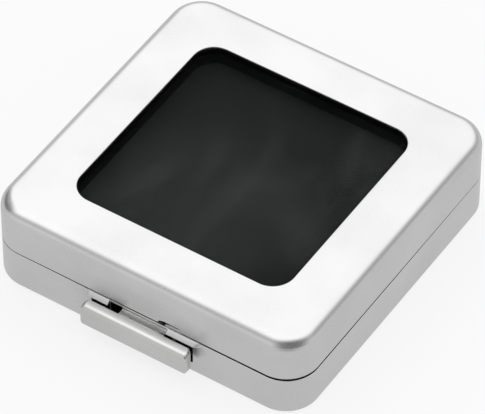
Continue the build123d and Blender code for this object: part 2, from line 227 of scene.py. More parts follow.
def darkFoam():
    # closed-cell foam: fine cells, paler soft wisps, and painted light and shade across the pad
    s = foamLook
    made, tree, shader = newMaterial("darkFoam", s["base"], 0.0, 0.85, Specular_IOR_Level=0.12,
                                     Sheen_Weight=0.06, Sheen_Roughness=0.5)
    place = objectPlace(tree)
    turned = addNode(tree, "ShaderNodeMapping", {"Vector": place, "Rotation": (0, 0, s["wispTurn"]),
                                                 "Scale": s["wispStretch"]}).outputs[0]
    wisps = addNode(tree, "ShaderNodeTexNoise", {"Vector": turned, "Scale": s["wisp"], "Detail": 5.0,
                                                 "Roughness": 0.55, "Distortion": 0.9}).outputs[0]
    cells = foamCells(tree, s["cell"])
    # painted light and shade: the pale tone is painted in thicker at the front left and thinner towards the
    # back and the right
    away = vectorNode(tree, "DISTANCE", place, s["paintedLightPlace"])
    paintedLight = spread(tree, away, *s["paintedLightReach"], *s["paintedLightShare"], kind="SMOOTHSTEP")
    share = mathNode(tree, "ADD", spread(tree, wisps, *s["wispEdge"], *s["wispShare"]),
                     spread(tree, cells, *s["cellEdge"], *s["cellShare"]))
    share = mathNode(tree, "ADD", share, paintedLight, use_clamp=True)
    tree.links.new(mixColors(tree, share, s["base"], s["bloom"]), shader.inputs["Base Color"])
    addBump(tree, shader, cells, *s["bump"])
    return made


def whiteFoam(color=(0.82, 0.82, 0.8), paler=(0.87, 0.87, 0.85), cell=4200, patches=90):
    made, tree, shader = newMaterial("whiteFoam", color, 0.0, 0.8, Specular_IOR_Level=0.2)
    twoTone(tree, shader, grainNoise(tree, patches, 3.0), (0.35, 0.7), color, paler)
    addBump(tree, shader, foamCells(tree, cell), *foamLook["bump"])
    return made


def paneGlass(smear=120):
    # clear low-reflection pane: mostly see-through, with faint smears on the surface
    made, tree, shader = newMaterial("paneGlass", (0.02, 0.024, 0.024), 0.0, 0.03, IOR=1.45)
    smears = grainNoise(tree, smear, 4.0, (1.0, 3.0, 1.0))
    tree.links.new(spread(tree, smears, 0.3, 0.75, 0.02, 0.09), shader.inputs["Roughness"])
    tree.links.new(spread(tree, smears, 0.35, 0.8, 0.025, 0.055), shader.inputs["Alpha"])
    made.surface_render_method = "BLENDED"
    return made


def clearTape(darker=(0.66, 0.64, 0.56), paler=(0.76, 0.74, 0.67), fibre=900):
    made, tree, shader = newMaterial("clearTape", (0.72, 0.7, 0.62), 0.0, 0.4, Specular_IOR_Level=0.4)
    fibres = grainNoise(tree, fibre, 3.0, (1.0, 0.15, 1.0))
    twoTone(tree, shader, fibres, (0.35, 0.7), darker, paler)
    addBump(tree, shader, fibres, 0.3, 0.02)
    return made


rolledGrain = {"stretch": (1.0, 0.08, 0.08), "cloud": 0.05}
satinShell = satinMetal("satinShell", (0.76, 0.765, 0.76), 0.24, 5200, 0.004, blast=latchBlast)
latchMetal = satinMetal("latchMetal", (0.75, 0.75, 0.745), 0.3, 2600, 0.006, (0.06, 1.0, 1.0))
platedSheet = satinMetal("platedSheet", (0.66, 0.66, 0.665), 0.24, 2200, 0.01, **rolledGrain)
pinSteel = satinMetal("pinSteel", (0.6, 0.6, 0.61), 0.2, 3000, 0.008, (0.05, 1.0, 1.0), 0.04)
# painted shade: this sheet is coloured nearly black for the latch bracket, which is seen only through the
# slot in the front wall, to stand for the shade in there
paintedShadeSheet = satinMetal("paintedShadeSheet", (0.07, 0.07, 0.075), 0.42, 2200, 0.01, **rolledGrain)
springSteel = satinMetal("springSteel", (0.42, 0.43, 0.46), 0.27, 2600, 0.008, (1.0, 1.0, 0.08), 0.05)
blackMoulding = mouldedBlack("blackMoulding", (0.0012, 0.0012, 0.0012), 0.6, 3800)
blackTape = mouldedBlack("blackTape", (0.004, 0.004, 0.004), 0.7, 1500)
foamDark, foamWhite = darkFoam(), whiteFoam()
glassPane, tapeClear = paneGlass(), clearTape()
print("materials ready")


# the tree that lofts rounded rectangles: shells, frame, tape, pane, liner, pad and latch bar

def newTree(name, inputs, result):
    # inputs are (name, kind of socket) or (name, kind of socket, start value)
    tree = bpy.data.node_groups.new(name, "GeometryNodeTree")
    for socketName, kind, *start in inputs:
        socket = tree.interface.new_socket(socketName, in_out="INPUT", socket_type="NodeSocket" + kind)
        if start:
            socket.default_value = start[0]
    tree.interface.new_socket(result, in_out="OUTPUT", socket_type="NodeSocketGeometry")
    return tree, addNode(tree, "NodeGroupInput").outputs


def endTree(tree, geometry, finish):
    real = addNode(tree, "GeometryNodeRealizeInstances", {"Geometry": geometry})
    dressed = addNode(tree, "GeometryNodeSetMaterial", {"Geometry": real.outputs[0], "Material": finish})
    out = addNode(tree, "NodeGroupOutput")
    tree.links.new(dressed.outputs[0], out.inputs[0])
    return tree


def ringLoftTree():
    # each vertex of the incoming line is one ring: x is its step inside the outline, y its corner
    # radius and z its height
    tree, given = newTree("ringLoft", (
        ("Rings", "Geometry"), ("Width", "Float", 0.06), ("Depth", "Float", 0.06),
        ("Straight Support", "Float", 0.0002), ("Corner Steps", "Int", 20), ("Closed", "Int", 1),
        ("Finish", "Material"),
    ), "Shell")
    nudge = 0.25  # keeps a whole number whole when it is divided and rounded down

    def calc(operation, first, second=0.0):
        return mathNode(tree, operation, first, second)

    ringCount = addNode(tree, "GeometryNodeAttributeDomainSize",
                        {"Geometry": given["Rings"]}).outputs["Point Count"]
    perCorner = calc("ADD", given["Corner Steps"], 3)
    columns = calc("MULTIPLY", perCorner, 4)
    wide = calc("ADD", columns, 1)
    grid = addNode(tree, "GeometryNodeMeshGrid", {
        "Size X": 1.0, "Size Y": 1.0,
        "Vertices X": calc("ADD", ringCount, given["Closed"]), "Vertices Y": wide,
    })
    index = addNode(tree, "GeometryNodeInputIndex").outputs[0]
    row = calc("FLOOR", calc("DIVIDE", calc("ADD", index, nudge), wide))
    column = calc("SUBTRACT", index, calc("MULTIPLY", row, wide))
    ring = calc("MODULO", row, ringCount)
    around = calc("MODULO", column, columns)
    sampled = addNode(tree, "GeometryNodeSampleIndex", {"Geometry": given["Rings"], "Index": ring},
                      data_type="FLOAT_VECTOR", domain="POINT")
    position = addNode(tree, "GeometryNodeInputPosition")
    tree.links.new(position.outputs[0], sampled.inputs["Value"])
    step, radius, height = addNode(tree, "ShaderNodeSeparateXYZ", {0: sampled.outputs[0]}).outputs

    # a corner's columns run along its arc, with one more on the straight side before and after it
    corner = calc("FLOOR", calc("DIVIDE", calc("ADD", around, nudge), perCorner))
    inCorner = calc("SUBTRACT", calc("SUBTRACT", around, calc("MULTIPLY", corner, perCorner)), 1)
    onArc = calc("MINIMUM", calc("MAXIMUM", inCorner, 0), given["Corner Steps"])
    beyond = calc("MULTIPLY", calc("SUBTRACT", inCorner, onArc), given["Straight Support"])
    quarter = math.pi / 2
    angle = calc("MULTIPLY", calc("ADD", corner, calc("DIVIDE", onArc, given["Corner Steps"])), quarter)
    diagonal = calc("MULTIPLY", calc("ADD", corner, 0.5), quarter)
    axes = []
    for size, wave, along, sign in (("Width", "COSINE", "SINE", -1), ("Depth", "SINE", "COSINE", 1)):
        side = calc("MULTIPLY", calc(wave, diagonal), math.sqrt(2))
        half = calc("SUBTRACT", calc("SUBTRACT", calc("MULTIPLY", given[size], 0.5), step), radius)
        curved = calc("MULTIPLY", calc(wave, angle), radius)
        slide = calc("MULTIPLY", calc("MULTIPLY", calc(along, angle), beyond), sign)
        axes.append(calc("ADD", calc("ADD", calc("MULTIPLY", half, side), curved), slide))
    spot = addNode(tree, "ShaderNodeCombineXYZ", {0: axes[0], 1: axes[1], 2: height}).outputs[0]
    shaped = addNode(tree, "GeometryNodeSetPosition", {"Geometry": grid.outputs[0], "Position": spot})
    merged = addNode(tree, "GeometryNodeMergeByDistance",
                     {"Geometry": shaped.outputs[0], "Distance": weld})
    smooth = addNode(tree, "GeometryNodeSetShadeSmooth", {"Geometry": merged.outputs[0]})
    return endTree(tree, smooth.outputs[0], given["Finish"])


ringLoft = ringLoftTree()


def setInputs(modifier, values):
    # a modifier's inputs go by the socket's identifier
    names = {item.name: item.identifier for item in modifier.node_group.interface.items_tree
             if item.in_out == "INPUT"}
    for name, value in values.items():
        modifier[names[name]] = value


def bakeObject(made):
    # the evaluated mesh takes the place of the mesh and its modifiers
    bpy.context.view_layer.update()
    shown = made.evaluated_get(bpy.context.evaluated_depsgraph_get())
    mesh = bpy.data.meshes.new_from_object(shown)
    mesh.name = made.name
    made.modifiers.clear()
    made.data = mesh


def newObject(name, points, edges=(), faces=()):
    mesh = bpy.data.meshes.new(name)
    mesh.from_pydata([Vector(point) for point in points], edges, faces)
    made = bpy.data.objects.new(name, mesh)
    bpy.context.collection.objects.link(made)
    return made


# steps of a round and the support lines beside it, and the smallest corner radius of a ring
roundSizes = {"step": 0.12, "fewest": 3, "most": 14, "support": 0.06, "supportShare": 0.3,
              "leastRadius": 0.02}


def cornerArc(here, toBefore, toAfter, size, steps):
    # the arc of a radius that rounds the corner between two directions
    opening = toBefore.angle(toAfter)
    reach = size / math.tan(opening / 2)
    centre = here + (toBefore + toAfter).normalized() * (size / math.sin(opening / 2))
    first, last = here + toBefore * reach - centre, here + toAfter * reach - centre
    sweep = math.atan2(first.x * last.y - first.y * last.x, first.dot(last))
    points = []
    for number in range(steps + 1):
        turned = first.copy()
        turned.rotate(Matrix.Rotation(sweep * number / steps, 2))
        points.append(centre + turned)
    return points


def roundedLine(corners, closed):
    # corners are (step, height, round, base), and base is the corner radius plus the step, which is
    # the same all over a round
    s, line = roundSizes, []
    for index, (step, height, size, base) in enumerate(corners):
        here = Vector((step, height))
        isEnd = not closed and index in (0, len(corners) - 1)
        if size <= 0 or isEnd:
            line.append((step, height, base))
            continue
        before = Vector(corners[index - 1][:2])
        after = Vector(corners[(index + 1) % len(corners)][:2])
        toBefore, toAfter = (before - here).normalized(), (after - here).normalized()
        reach = size / math.tan(toBefore.angle(toAfter) / 2)
        support = min(s["support"], size * s["supportShare"])
        steps = max(s["fewest"], min(s["most"], round(size / s["step"])))
        points = [here + toBefore * reach + toBefore * support]
        points += cornerArc(here, toBefore, toAfter, size, steps)
        points.append(here + toAfter * reach + toAfter * support)
        line += [(point.x, point.y, base) for point in points]
    return line


def loftRings(name, corners, width, depth, finish, closed=True, cornerSteps=20, support=0.3):
    rings = [(step * mm, max(base - step, roundSizes["leastRadius"]) * mm, height * mm)
             for step, height, base in roundedLine(corners, closed)]
    made = newObject(name, rings)
    modifier = made.modifiers.new("loft", "NODES")
    modifier.node_group = ringLoft
    setInputs(modifier, {
        "Width": width * mm, "Depth": depth * mm, "Straight Support": support * mm,
        "Corner Steps": cornerSteps, "Closed": 1 if closed else 0, "Finish": finish,
    })
    bakeObject(made)
    tidyMesh(made)
    return made


def tidyMesh(made, angle=32):
    # holes are capped, faces point outwards, and edges sharper than the angle stay sharp
    work = bmesh.new()
    work.from_mesh(made.data)
    bmesh.ops.remove_doubles(work, verts=work.verts, dist=weld)
    bmesh.ops.holes_fill(work, edges=[edge for edge in work.edges if edge.is_boundary], sides=0)
    bmesh.ops.dissolve_degenerate(work, dist=weld / 2, edges=work.edges)
    bmesh.ops.recalc_face_normals(work, faces=work.faces)
    for each in work.faces:
        each.smooth = True
    work.to_mesh(made.data)
    work.free()
    made.data.set_sharp_from_angle(angle=math.radians(angle))


def combine(made, others, operation):
    # cuts the others out of a piece or joins them to it, exactly, and deletes them
    for other in others:
        modifier = made.modifiers.new("cut", "BOOLEAN")
        modifier.object, modifier.operation, modifier.solver = other, operation, "EXACT"
        bakeObject(made)
        bpy.data.objects.remove(other)
    tidyMesh(made)


def standUp(made, x, y, z):
    # turns a loft on its side, so that its height runs along y, and moves it
    made.data.transform(Matrix.Translation(Vector((x, y, z)) * mm) @ Matrix.Rotation(math.pi / 2, 4, "X"))
    made.data.update()
    return made


def boxCutter(low, high):
    points = [(x * mm, y * mm, z * mm) for x in (low[0], high[0]) for y in (low[1], high[1])
              for z in (low[2], high[2])]
    faces = [(0, 1, 3, 2), (4, 6, 7, 5), (0, 4, 5, 1), (2, 3, 7, 6), (0, 2, 6, 4), (1, 5, 7, 3)]
    return newObject("cutter", points, faces=faces)


def finishPiece(made, finish, body, recordSlot, *nodes):
    made.data.materials.clear()
    made.data.materials.append(finish)
    for each in made.data.polygons:
        each.material_index = 0
    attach(made, body)
    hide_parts(*nodes)


def prism(name, outline, axis, start, end, rounding=0.0):
    # a flat outline swept along x or y
    count = len(outline)
    points = [Vector((c, a, b) if axis == "x" else (a, c, b)) * mm
              for c in (start, end) for a, b in outline]
    faces = [tuple(range(count)), tuple(range(count, 2 * count))]
    faces += [(n, (n + 1) % count, count + (n + 1) % count, count + n) for n in range(count)]
    made = newObject(name, points, faces=faces)
    tidyMesh(made)
    if rounding > 0:
        modifier = made.modifiers.new("edges", "BEVEL")
        modifier.width, modifier.segments = rounding * mm, 3
        modifier.limit_method, modifier.angle_limit = "ANGLE", math.radians(40)
        modifier.use_clamp_overlap, modifier.miter_outer = True, "MITER_ARC"
        bakeObject(made)
        tidyMesh(made)
    return made


def bendPath(points, radius, steps=7):
    # rounds the inner corners of an open path, each by no more than its shorter side has room for
    path = [Vector(points[0])]
    for before, here, after in zip(points, points[1:], points[2:]):
        before, here, after = Vector(before), Vector(here), Vector(after)
        toBefore, toAfter = (before - here).normalized(), (after - here).normalized()
        room = 0.49 * min((before - here).length, (after - here).length)
        size = min(radius, room * math.tan(toBefore.angle(toAfter) / 2))
        path += cornerArc(here, toBefore, toAfter, size, steps)
    path.append(Vector(points[-1]))
    return path


def rollPath(centre, radius, start, sweep, steps=30):
    # arc of a rolled knuckle, in degrees
    angles = [math.radians(start + sweep * number / steps) for number in range(steps + 1)]
    return [Vector((centre[0] + radius * math.cos(a), centre[1] + radius * math.sin(a))) for a in angles]


def sheetOutline(path, sheet, sharpest=0.3):
    # the closed outline of a strip of sheet along its middle line
    left, right = [], []
    for index, here in enumerate(path):
        before = (here - path[index - 1]).normalized() if index else None
        after = (path[index + 1] - here).normalized() if index + 1 < len(path) else None
        along = ((before or after) + (after or before)).normalized()
        across = Vector((-along.y, along.x))
        ahead = after or before
        reach = sheet / 2 / max(sharpest, across.dot(Vector((-ahead.y, ahead.x))))
        left.append(here + across * reach)
        right.append(here - across * reach)
    return left + right[::-1]


def smoothShare(value):
    value = min(1.0, max(0.0, value))
    return value * value * (3 - 2 * value)


# the two shells

shellSizes = {
    "corner": 6.0, "sheet": 0.6, "topEdge": 2.5, "bottomEdge": 0.8, "lidRim": 0.05, "baseRim": 0.09,
    "floorEdge": 0.3, "rimFall": 0.2, "rimInside": 0.05, "floorStep": 4, "cornerSteps": 24,
    "seamLift": 0.2, "seamSpread": 15.0, "seamBand": 0.4,
    "border": 9.5, "windowRadius": 4.0, "windowEdge": 0.2,
    # slot and opening: left, right, bottom and top
    "slot": (-5.9, 5.4, 3.32, 7.42), "opening": (-9.55, 10.1, 2.4, 7.02), "slotRound": 0.35, "slotReach": 3,
    # a ledge runs from its inner to its outer x, and fades over the last share of the way
    "ledgeTop": 7.52, "ledgeRoot": 7.76, "ledgeFoot": 7.02, "ledgeReach": 0.76, "ledgeFade": 0.22,
    "ledgeLeft": (-5.9, -10.7), "ledgeRight": (5.4, 12.0), "ledgeSink": 0.06, "ledgeSteps": 28,
    # notch in the lid's rim and tab behind it: x, and height above the rim
    "notch": ((3.2, -0.5), (3.4, 0.3), (3.75, 0.72), (4.7, 0.92), (7.2, 0.85), (7.9, 0.5), (8.9, 0.08),
              (9.8, -0.5)),
    "tab": ((4.4, -0.4), (4.7, -0.05), (5.4, 0.12), (7.2, 0.08), (8.2, -0.1), (9.0, -0.4)),
    "notchBend": 0.5, "tabBend": 0.4, "tabBack": (0.36, 0.58), "tabEdge": 0.06,
    "hingeHalf": 15.2, "hingeRoom": 1.35, "hingeReach": 1.5,
}
baseHigh = nodeBox("base_shell")[1]
lidLow, lidHigh = nodeBox("lid_shell")
caseWidth, caseDepth = lidHigh.x - lidLow.x, lidHigh.y - lidLow.y
frontWall, backWall = -caseDepth / 2, caseDepth / 2
hingeLow, hingeHigh = nodeBox("hinge_pin")
hingeMiddle = (hingeLow + hingeHigh) / 2


def hingeCutter():
    half, reach, room = (shellSizes[key] for key in ("hingeHalf", "hingeReach", "hingeRoom"))
    return boxCutter((-half, backWall - reach, hingeMiddle.z - room),
                     (half, backWall + reach, hingeMiddle.z + room))


def openSeam(made, height, share):
    # moves a rim away from the seam near the front right corner, and leaves it in place elsewhere
    corner = Vector((caseWidth / 2, frontWall)) * mm
    for vertex in made.data.vertices:
        near = math.exp(-(((vertex.co.xy - corner).length / mm / shellSizes["seamSpread"]) ** 2))
        if abs(vertex.co.z / mm - height) < shellSizes["seamBand"]:
            vertex.co.z += share * shellSizes["seamLift"] * near * mm
    made.data.update()


def makeLidShell():
    s = shellSizes
    case, window = s["corner"], s["windowRadius"] + s["border"]
    top, low, sheet = lidHigh.z, lidLow.z, s["sheet"]
    edge, rim = s["windowEdge"], s["lidRim"]
    corners = [
        (0, low, rim, case), (0, top, s["topEdge"], case),
        (s["border"], top, edge, window), (s["border"], top - sheet, edge, window),
        (sheet, top - sheet, s["topEdge"] - sheet, case), (sheet, low, rim, case),
    ]
    made = loftRings("lidShell", corners, caseWidth, caseDepth, satinShell, cornerSteps=s["cornerSteps"])
    openSeam(made, low, 1)
    outline = bendPath([(x, low + rise) for x, rise in s["notch"]], s["notchBend"], 5)
    notch = prism("cutter", outline, "y", frontWall - 1, frontWall + 1)
    combine(made, [notch, hingeCutter()], "DIFFERENCE")
    finishPiece(made, satinShell, "lid", "satin_shell", "lid_shell")


def makeLedge(inner, outer):
    # a shelf pressed out of the wall: a cross-section that fades into the wall towards its outer end
    s = shellSizes
    top, foot, root, inside, front = s["ledgeTop"], s["ledgeFoot"], s["ledgeRoot"], 0.35, -0.9
    section = [(inside, root), (0.0, root), (-0.12, root - 0.04), (-0.28, top + 0.1), (-0.44, top),
               (-0.58, top - 0.1), (-0.7, top - 0.19), (-0.8, top - 0.27), (-0.87, top - 0.35),
               (front, top - 0.41), (-0.86, top - 0.45), (-0.76, foot + 0.02), (-0.3, foot + 0.01),
               (inside, foot)]
    steps, count, points, faces = s["ledgeSteps"], len(section), [], []
    for number in range(steps + 1):
        share = number / steps
        x = inner + (outer - inner) * share
        fade = smoothShare((1 - share) / s["ledgeFade"])
        for out, height in section:
            # the faded end is sunk a little into the wall
            y = out * s["ledgeReach"] / -front * fade + (1 - fade) * s["ledgeSink"] if out < 0 else out
            points.append((x * mm, (frontWall + y) * mm, height * mm))
    for number in range(steps):
        for k in range(count):
            a, b = number * count + k, number * count + (k + 1) % count
            faces.append((a, b, b + count, a + count))
    faces += [tuple(range(count)), tuple(range(steps * count, (steps + 1) * count))]
    made = newObject("ledge", points, faces=faces)
    tidyMesh(made)
    return made


def makeBaseShell():
    s = shellSizes
    case, sheet, top = s["corner"], s["sheet"], baseHigh.z
    bottomEdge, inwards = s["bottomEdge"], s["floorStep"]
    corners = [
        (sheet + inwards, sheet, 0, case), (sheet, sheet, s["floorEdge"], case),
        (sheet, top - s["rimFall"], s["rimInside"], case), (0, top, s["baseRim"], case),
        (0, 0, bottomEdge, case), (bottomEdge + inwards, 0, 0, case),
    ]
    made = loftRings("baseShell", corners, caseWidth, caseDepth, satinShell, closed=False,
                     cornerSteps=s["cornerSteps"])
    openSeam(made, top, -0.5)
    outline = bendPath([(x, lidLow.z + rise) for x, rise in s["tab"]], s["tabBend"], 5)
    near, far = s["tabBack"]
    tab = prism("tab", outline, "y", frontWall + near, frontWall + far, s["tabEdge"])
    combine(made, [makeLedge(*s["ledgeLeft"]), makeLedge(*s["ledgeRight"]), tab], "UNION")
    cutters = []
    for left, right, low, high in (s["slot"], s["opening"]):
        ends = [(0, height, 0, s["slotRound"]) for height in (-s["slotReach"], s["slotReach"])]
        cutter = loftRings("cutter", ends, right - left, high - low, satinShell, closed=False,
                           cornerSteps=8)
        cutters.append(standUp(cutter, (left + right) / 2, frontWall, (low + high) / 2))
    combine(made, cutters + [hingeCutter()], "DIFFERENCE")
    finishPiece(made, satinShell, "base", "satin_shell", "base_shell")


makeLidShell()
makeBaseShell()
print("shells made")


# window: frame, tape and pane

windowSizes = {"radius": 4.0, "collar": 1.0, "rebate": 3.1, "skirt": 1.2, "margin": 3.0, "inside": 2,
               "edge": 0.12, "lowEdge": 0.25, "rebateEdge": 0.1, "skirtEdge": 0.4, "collarEdge": 0.15,
               "paneEdge": 0.18}
frameLow, frameHigh = nodeBox("window_frame")
paneLow, paneHigh = nodeBox("window_glass")
tapeLow, tapeHigh = nodeBox("window_tape")
windowWidth = caseWidth - 2 * shellSizes["border"]
windowDepth = caseDepth - 2 * shellSizes["border"]


def makeWindow():
    s = windowSizes
    base, edge, reach = s["radius"], s["edge"], frameHigh.x - windowWidth / 2
    rebate, collar, margin, skirt = -s["rebate"], -s["collar"], -s["margin"], paneLow.z - s["skirt"]
    corners = [
        (0, frameLow.z, s["lowEdge"], base), (0, paneLow.z, edge, base),
        (rebate, paneLow.z, s["rebateEdge"], base), (rebate, frameHigh.z, edge, base),
        (-reach, frameHigh.z, edge, base), (-reach, skirt, s["skirtEdge"], base),
        (collar, skirt, s["collarEdge"], base), (collar, frameLow.z, edge, base),
    ]
    rim = loftRings("windowFrame", corners, windowWidth, windowDepth, blackMoulding)
    finishPiece(rim, blackMoulding, "lid", "black_moulding", "window_frame")
    corners = [(0.0, tapeLow.z, 0, base), (0.0, tapeHigh.z, 0, base),
               (-reach, tapeHigh.z, 0, base), (-reach, tapeLow.z, 0, base)]
    tape = loftRings("windowTape", corners, windowWidth, windowDepth, blackTape)
    finishPiece(tape, blackTape, "lid", "black_tape", "window_tape")
    corners = [(s["inside"], paneLow.z, 0, base), (margin, paneLow.z, s["paneEdge"], base),
               (margin, paneHigh.z, s["paneEdge"], base), (s["inside"], paneHigh.z, 0, base)]
    pane = loftRings("windowPane", corners, windowWidth, windowDepth, glassPane, closed=False)
    finishPiece(pane, glassPane, "lid", "pane_glass", "window_glass")


makeWindow()
print("window made")


# liner and foam pad

linerSizes = {"wall": 0.9, "padGap": 0.2, "padRadius": 3.0, "pocketRoom": 0.5, "pocketLip": 0.3,
              "leafRoom": 0.9, "edge": 0.25, "wellEdge": 0.3, "hollowEdge": 0.2, "skirtEdge": 0.1,
              "wellStep": 4, "hollowStep": 3}
padSizes = {"edge": 0.9, "lowerShare": 0.6, "cutEdge": 0.1, "crown": 0.12, "crownPower": 4,
            "wave": 0.05, "waveScale": 90, "pull": 0.22, "pullPowers": (8, 6), "stepRadius": 0.4,
            "lowSteps": (20.0, 12.0, 6.0, 3.0, 1.6), "highSteps": (1.6, 3.0, 6.0, 12.0, 16.0, 20.0)}
linerLow, linerHigh = nodeBox("pad_tray")
whiteLow, whiteHigh = nodeBox("pad_white_layer")
blackLow, blackHigh = nodeBox("pad_black_layer")
bracketLow, bracketHigh = nodeBox("latch_bracket")
leafLow, leafHigh = nodeBox("hinge_leaf_base")


def makeLiner():
    s = linerSizes
    skirt = (caseWidth - (linerHigh.x - linerLow.x)) / 2
    well = (caseWidth - (blackHigh.x - blackLow.x)) / 2 - s["padGap"]
    case, pad = shellSizes["corner"], s["padRadius"] + s["padGap"] + well
    wall, low, top = s["wall"], linerLow.z, linerHigh.z
    corners = [
        (well + s["wellStep"], whiteLow.z, 0, pad), (well, whiteLow.z, s["wellEdge"], pad),
        (well, top, s["edge"], pad), (skirt, top, s["edge"], case), (skirt, low, s["skirtEdge"], case),
        (skirt + wall, low, s["skirtEdge"], case), (skirt + wall, top - wall, s["hollowEdge"], case),
        (well - wall, top - wall, s["hollowEdge"], pad), (well - wall, low, s["wellEdge"], pad),
        (well + s["hollowStep"], low, 0, pad),
    ]
    made = loftRings("padTray", corners, caseWidth, caseDepth, blackMoulding, closed=False)
    room, leafRoom = s["pocketRoom"], s["leafRoom"]
    front = frontWall + well - wall - s["pocketLip"]
    pocket = boxCutter((bracketLow.x - room, frontWall - 1, low - 1),
                       (bracketHigh.x + room, front, top + 1))
    recess = boxCutter((leafLow.x - leafRoom, leafLow.y - leafRoom, low - 1),
                       (leafHigh.x + leafRoom, backWall + 1, top + 1))
    combine(made, [pocket, recess], "DIFFERENCE")
    finishPiece(made, blackMoulding, "base", "black_moulding", "pad_tray")


def makePadLayer(name, low, high, crown, edgeLow, edgeHigh, finish, recordSlot, node):
    # die-cut foam: soft edges, sides that pull in a little, and a slightly crowned and uneven face
    s, base, width, depth = padSizes, linerSizes["padRadius"], high.x - low.x, high.y - low.y
    corners = [(step, low.z, 0, max(base, step + s["stepRadius"])) for step in s["lowSteps"]]
    corners += [(0, low.z, edgeLow, base), (0, high.z, edgeHigh, base)]
    corners += [(step, high.z, 0, max(base, step + s["stepRadius"])) for step in s["highSteps"]]
    made = loftRings(name, corners, width, depth, finish, closed=False, cornerSteps=12)
    modifier = made.modifiers.new("finer", "SUBSURF")
    modifier.subdivision_type, modifier.levels, modifier.render_levels = "SIMPLE", 2, 2
    bakeObject(made)
    halfX, halfY = width / 2 * mm, depth / 2 * mm
    power, (sidePower, endPower) = s["crownPower"], s["pullPowers"]
    for vertex in made.data.vertices:
        x, y, z = vertex.co
        acrossX, acrossY = min(1.0, abs(x) / halfX), min(1.0, abs(y) / halfY)
        middle = (1 - acrossX ** power) * (1 - acrossY ** power)
        upper = max(0.0, (z / mm - low.z) / (high.z - low.z))
        if crown:
            wave = noise.noise(Vector((x, y, z)) * s["waveScale"]) * s["wave"]
            vertex.co.z -= upper * (crown * (1 - middle) - wave + s["wave"]) * mm
        pull = s["pull"] * (1 - (2 * upper - 1) ** 2) * mm
        vertex.co.x -= math.copysign(pull * acrossX ** sidePower * (1 - acrossY ** endPower), x)
        vertex.co.y -= math.copysign(pull * acrossY ** sidePower * (1 - acrossX ** endPower), y)
    made.data.update()
    tidyMesh(made, 50)
    finishPiece(made, finish, "base", recordSlot, node)


makeLiner()
makePadLayer("foamPadBlack", blackLow, blackHigh, padSizes["crown"], padSizes["cutEdge"], padSizes["edge"],
             foamDark, "dark_foam", "pad_black_layer")
makePadLayer("foamPadWhite", whiteLow, whiteHigh, 0, padSizes["edge"] * padSizes["lowerShare"],
             padSizes["cutEdge"], foamWhite, "white_foam", "pad_white_layer")
print("liner and pad made")


# latch: bar, tongue with rolled sides, and hook

latchSizes = {
    "sheet": 0.6, "edge": 0.07,
    # the bar is width, height and depth, and its rings stand at shares of the depth and at steps
    "bar": (20.6, 4.4, 1.8), "barMiddle": 0.5, "barTop": 7.0, "barRound": 0.8, "frontRadius": 0.9,
    "frontRound": (0.75, 0.5), "frontSteps": 12, "frontFill": 1.3, "endShare": 0.3, "ringRoom": 0.3,
    "backRound": 0.7, "backLift": 0.06, "backEdge": 0.12, "backCap": (0.8, 0.9), "leastBend": 0.3,
    "backRings": (0.08, 0.13, 0.2, 0.28, 0.36, 0.44, 0.52), "frontRings": (0.8, 1.1),
    "creaseRings": (-1.6, -0.8, 0, 0.8, 1.6), "slope": (0.02, 0.07), "crease": (5.45, 0.13, 0.035),
    # the tongue starts inside the bar, and ends past the point to which it rises
    "tongueLeft": -3.5, "tongueRight": 5.3, "tongueStart": (0.8, 0.1), "tongueEnd": 0.4,
    "tongueInset": 0.03, "tongueThinner": 0.002, "join": (0.05, 0.02), "dip": 0.13, "dipAt": 0.25,
    "riseTo": 0.8, "riseRound": 1.6, "roll": 0.85, "rollTurn": 285, "knuckle": 1.9,
    "sideGap": 0.15, "hookY": -28.2, "hookTip": -27.2, "bend": 0.5,
}
leverLow, leverHigh = nodeBox("latch_lever")
latchPinLow, latchPinHigh = nodeBox("latch_pin")
latchAxis = (latchPinLow + latchPinHigh) / 2


def makeBar(barBack):
    # press bar with a soft front edge, a top that falls towards the front, rounded ends and a faint crease
    s = latchSizes
    width, tall, deep = s["bar"]
    reach, drop = s["frontRound"]
    sheet, radius, frontRadius, backRound = s["sheet"], s["barRound"], s["frontRadius"], s["backRound"]
    creaseHeight, creaseWidth, creaseDepth = s["crease"]
    capStep, capRadius = s["backCap"]
    corners = [(sheet + capStep, deep - sheet, 0, radius + capRadius),
               (sheet, deep - sheet, s["backEdge"], radius),
               (sheet, 0, s["edge"], radius), (0, 0, s["edge"], radius)]
    corners += [(0, deep * part, 0, radius) for part in s["backRings"]]
    for number in range(s["frontSteps"] + 1):
        turn = math.radians(90 - 90 * number / s["frontSteps"])
        corners.append((drop * (1 - math.sin(turn)), deep - reach * (1 - math.cos(turn)), 0, frontRadius))
    middle, creaseStep = s["barTop"] - tall / 2, s["barTop"] - creaseHeight
    for step in (*s["frontRings"], *(creaseStep + creaseWidth * part for part in s["creaseRings"])):
        corners.append((step, deep, 0, max(frontRadius, step + s["ringRoom"])))
    bar = loftRings("latchLever", corners, width, tall, latchMetal, closed=False, cornerSteps=10,
                    support=0.1)
    standUp(bar, 0, barBack, middle)
    level, curve = s["slope"]
    endStart = width / 2 - backRound
    for vertex in bar.data.vertices:
        x, y, z = vertex.co / mm
        behind = barBack - y
        fromFront = min(1.0, max(0.0, (deep - behind) / reach))
        inset = drop * (1 - math.sqrt(1 - (1 - fromFront) ** 2))
        along = behind / (deep - reach)
        if z > middle:
            lift = s["backLift"] - level * along - curve * along ** 2
            z += smoothShare((z - middle) / (tall / 2)) * lift
        else:
            z = middle - (middle - z) * tall / (tall - s["frontFill"] * inset)
        if behind > deep - 0.001:
            y += creaseDepth * math.exp(-(((z - creaseHeight) / creaseWidth) ** 2))
        x *= (width / 2 - s["endShare"] * inset) / (width / 2 - inset)
        if abs(x) > endStart and behind < backRound:
            bend = math.sqrt(1 - (1 - behind / backRound) ** 2)
            x = math.copysign(endStart + (abs(x) - endStart) * max(s["leastBend"], bend), x)
        vertex.co = Vector((x + s["barMiddle"], y, z)) * mm
    bar.data.update()
    tidyMesh(bar)
    return bar


